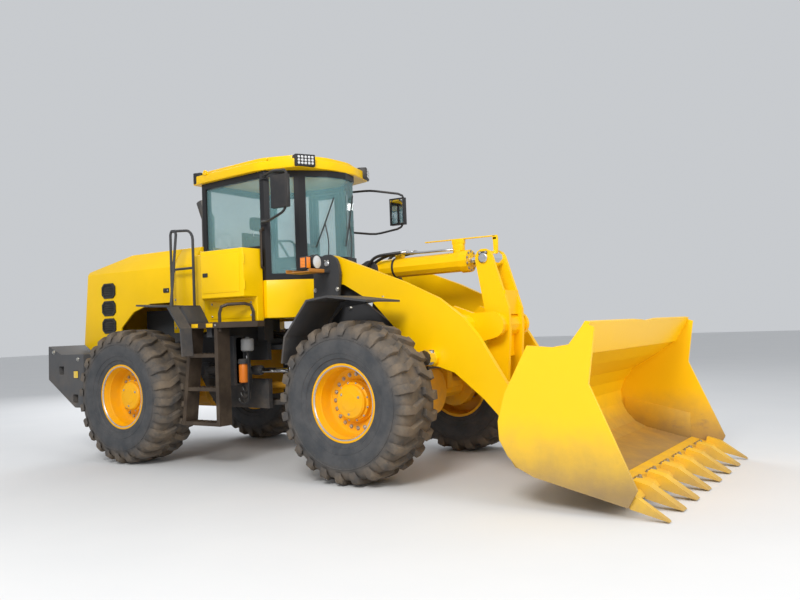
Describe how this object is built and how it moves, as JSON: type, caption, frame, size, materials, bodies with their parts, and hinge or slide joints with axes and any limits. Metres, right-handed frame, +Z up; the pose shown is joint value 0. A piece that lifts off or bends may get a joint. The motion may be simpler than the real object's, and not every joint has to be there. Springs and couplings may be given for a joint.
{
  "type": "articulated wheel loader",
  "caption": "Articulated wheel loader with a toothed front bucket on a Z-bar boom linkage, an enclosed glazed cab, a rear engine hood and large lugged tyres.",
  "frame": {"origin": "centre of the bounding box in plan, on the ground", "axes": "+X forward to the bucket, +Y to the machine's left, +Z up"},
  "size_m": [7.84, 3, 3.43],
  "materials": {
    "yellow_paint": "gloss bright yellow",
    "rim_paint": "satin orange-yellow",
    "frame_paint": "satin dark grey",
    "cab_paint": "satin black",
    "axle_paint": "satin orange-yellow over castings",
    "engine_paint": "satin grey",
    "dark_steel": "heat-darkened matt",
    "edge_steel": "worn yellow over steel",
    "rubber": "matt, dusty",
    "chrome": "polished",
    "lamp_plastic": "satin black",
    "interior_plastic": "textured dark grey",
    "seat_fabric": "woven dark grey",
    "glass_tint": "clear, teal tint"
  },
  "bodies": {
    "rear_frame": {"rear_frame": "frame_paint", "rear_axle": "axle_paint", "counterweight": "frame_paint", "front_cowl": "yellow_paint", "exhaust_stack": "dark_steel", "engine_block": "engine_paint", "transmission": "axle_paint", "side_box_left": "yellow_paint", "side_box_right": "yellow_paint", "cab_base": "yellow_paint", "cab_frame": "cab_paint", "quarter_glass_left": "glass_tint", "corner_glass_left": "glass_tint", "side_glass_right": "glass_tint", "corner_glass_right": "glass_tint", "windscreen": "glass_tint", "rear_glass": "glass_tint", "cab_roof": "yellow_paint", "mirror_left": "lamp_plastic", "mirror_right": "lamp_plastic", "operator_seat": "seat_fabric", "steering_column": "interior_plastic", "access_ladder_left": "frame_paint", "access_ladder_right": "frame_paint", "rear_fender_left": "frame_paint", "rear_fender_right": "frame_paint"},
    "front_frame": {"front_frame": "frame_paint", "front_axle": "axle_paint", "front_fender_left": "frame_paint", "front_fender_right": "frame_paint", "headlamp_left": "lamp_plastic", "headlamp_right": "lamp_plastic"},
    "boom": {"boom": "yellow_paint"},
    "bellcrank": {"bellcrank": "yellow_paint"},
    "bucket_link": {"bucket_link": "yellow_paint"},
    "bucket": {"bucket": "yellow_paint", "bucket_edge": "edge_steel"},
    "tilt_cylinder": {"tilt_cylinder": "yellow_paint"},
    "tilt_rod": {"tilt_rod": "chrome"},
    "door_left": {"door_left": "cab_paint", "door_glass_left": "glass_tint"},
    "engine_hood": {"engine_hood": "yellow_paint"},
    "front_wheel_left": {"front_tyre_left": "rubber", "front_rim_left": "rim_paint"},
    "rear_wheel_left": {"rear_tyre_left": "rubber", "rear_rim_left": "rim_paint"},
    "lift_cylinder_left": {"lift_cylinder_left": "yellow_paint"},
    "lift_rod_left": {"lift_rod_left": "chrome"},
    "steering_cylinder_left": {"steering_cylinder_left": "frame_paint"},
    "steering_rod_left": {"steering_rod_left": "chrome"},
    "front_wheel_right": {"front_tyre_right": "rubber", "front_rim_right": "rim_paint"},
    "rear_wheel_right": {"rear_tyre_right": "rubber", "rear_rim_right": "rim_paint"},
    "lift_cylinder_right": {"lift_cylinder_right": "yellow_paint"},
    "lift_rod_right": {"lift_rod_right": "chrome"},
    "steering_cylinder_right": {"steering_cylinder_right": "frame_paint"},
    "steering_rod_right": {"steering_rod_right": "chrome"}
  },
  "joints": [
    {"name": "articulation", "type": "hinge", "parent": "rear_frame", "child": "front_frame", "pos_m": [-0.739, 0, 0.965], "axis": [0, 0, 1], "range_deg": [-38, 38]},
    {"name": "front_wheel_left_spin", "type": "hinge", "parent": "front_frame", "child": "front_wheel_left", "pos_m": [0.886, 1.095, 0.78027], "axis": [0, 1, 0], "continuous": true},
    {"name": "rear_wheel_left_spin", "type": "hinge", "parent": "rear_frame", "child": "rear_wheel_left", "pos_m": [-2.364, 1.095, 0.78027], "axis": [0, 1, 0], "continuous": true},
    {"name": "front_wheel_right_spin", "type": "hinge", "parent": "front_frame", "child": "front_wheel_right", "pos_m": [0.886, -1.095, 0.78027], "axis": [0, 1, 0], "continuous": true},
    {"name": "rear_wheel_right_spin", "type": "hinge", "parent": "rear_frame", "child": "rear_wheel_right", "pos_m": [-2.364, -1.095, 0.78027], "axis": [0, 1, 0], "continuous": true},
    {"name": "boom_lift", "type": "hinge", "parent": "front_frame", "child": "boom", "pos_m": [0.231, 0, 2.12], "axis": [0, -1, 0], "range_deg": [-2, 80]},
    {"name": "bucket_tilt", "type": "hinge", "parent": "boom", "child": "bucket", "pos_m": [2.381, 0, 0.55], "axis": [0, 1, 0], "range_deg": [-58, 112]},
    {"name": "bellcrank_pivot", "type": "hinge", "parent": "boom", "child": "bellcrank", "pos_m": [1.961, 0, 1.467], "axis": [0, 1, 0], "range_deg": [-26.26, 13.84]},
    {"name": "bucket_link_pivot", "type": "hinge", "parent": "bellcrank", "child": "bucket_link", "pos_m": [1.953, 0, 0.68], "axis": [0, 1, 0], "range_deg": [-31.53, 60.42]},
    {"name": "tilt_cylinder_pivot", "type": "hinge", "parent": "front_frame", "child": "tilt_cylinder", "pos_m": [0.411, 0, 2.12], "axis": [0, -1, 0], "range_deg": [-2.58, 83.7]},
    {"name": "tilt_rod_slide", "type": "slide", "parent": "tilt_cylinder", "child": "tilt_rod", "axis": [0.9999, 0, 0.0141], "range_m": [-0.1339, 0.0698]},
    {"name": "lift_cylinder_left_pivot", "type": "hinge", "parent": "front_frame", "child": "lift_cylinder_left", "pos_m": [-0.019, 0.695, 0.86], "axis": [0, -1, 0], "range_deg": [-1.67, 47.3]},
    {"name": "lift_rod_left_slide", "type": "slide", "parent": "lift_cylinder_left", "child": "lift_rod_left", "axis": [0.9788, 0, 0.2048], "range_m": [-0.0307, 1.1885]},
    {"name": "steering_cylinder_left_pivot", "type": "hinge", "parent": "rear_frame", "child": "steering_cylinder_left", "pos_m": [-1.739, 0.56, 1.04], "axis": [0, 0, 1], "range_deg": [-7.64, 7.64]},
    {"name": "steering_rod_left_slide", "type": "slide", "parent": "steering_cylinder_left", "child": "steering_rod_left", "axis": [0.9995, -0.0308, 0], "range_m": [-0.3386, 0.3386]},
    {"name": "lift_cylinder_right_pivot", "type": "hinge", "parent": "front_frame", "child": "lift_cylinder_right", "pos_m": [-0.019, -0.695, 0.86], "axis": [0, -1, 0], "range_deg": [-1.67, 47.3]},
    {"name": "lift_rod_right_slide", "type": "slide", "parent": "lift_cylinder_right", "child": "lift_rod_right", "axis": [0.9788, 0, 0.2048], "range_m": [-0.0307, 1.1885]},
    {"name": "steering_cylinder_right_pivot", "type": "hinge", "parent": "rear_frame", "child": "steering_cylinder_right", "pos_m": [-1.739, -0.56, 1.04], "axis": [0, 0, 1], "range_deg": [-7.64, 7.64]},
    {"name": "steering_rod_right_slide", "type": "slide", "parent": "steering_cylinder_right", "child": "steering_rod_right", "axis": [0.9995, 0.0308, 0], "range_m": [-0.3386, 0.3386]},
    {"name": "door_left_hinge", "type": "hinge", "parent": "rear_frame", "child": "door_left", "pos_m": [-1.03045, 0.70852, 2.5], "axis": [0, 0, 1], "range_deg": [0, 90]},
    {"name": "engine_hood_hinge", "type": "hinge", "parent": "rear_frame", "child": "engine_hood", "pos_m": [-3.719, 0, 1.42], "axis": [0, -1, 0], "range_deg": [0, 50]}
  ],
  "couplings": [
    {"joint": "bellcrank_pivot", "follows": "bucket_tilt", "ratio": -0.23},
    {"joint": "bucket_link_pivot", "follows": "bucket_tilt", "ratio": 0.535},
    {"joint": "tilt_cylinder_pivot", "follows": "boom_lift", "ratio": 1.04},
    {"joint": "tilt_rod_slide", "follows": "bucket_tilt", "m_per_rad": -0.068},
    {"joint": "lift_cylinder_left_pivot", "follows": "boom_lift", "ratio": 0.585},
    {"joint": "lift_rod_left_slide", "follows": "boom_lift", "m_per_rad": 0.8505},
    {"joint": "steering_cylinder_left_pivot", "follows": "articulation", "ratio": 0.188},
    {"joint": "steering_rod_left_slide", "follows": "articulation", "m_per_rad": -0.509},
    {"joint": "lift_cylinder_right_pivot", "follows": "boom_lift", "ratio": 0.585},
    {"joint": "lift_rod_right_slide", "follows": "boom_lift", "m_per_rad": 0.8505},
    {"joint": "steering_cylinder_right_pivot", "follows": "articulation", "ratio": 0.188},
    {"joint": "steering_rod_right_slide", "follows": "articulation", "m_per_rad": 0.509}
  ]
}
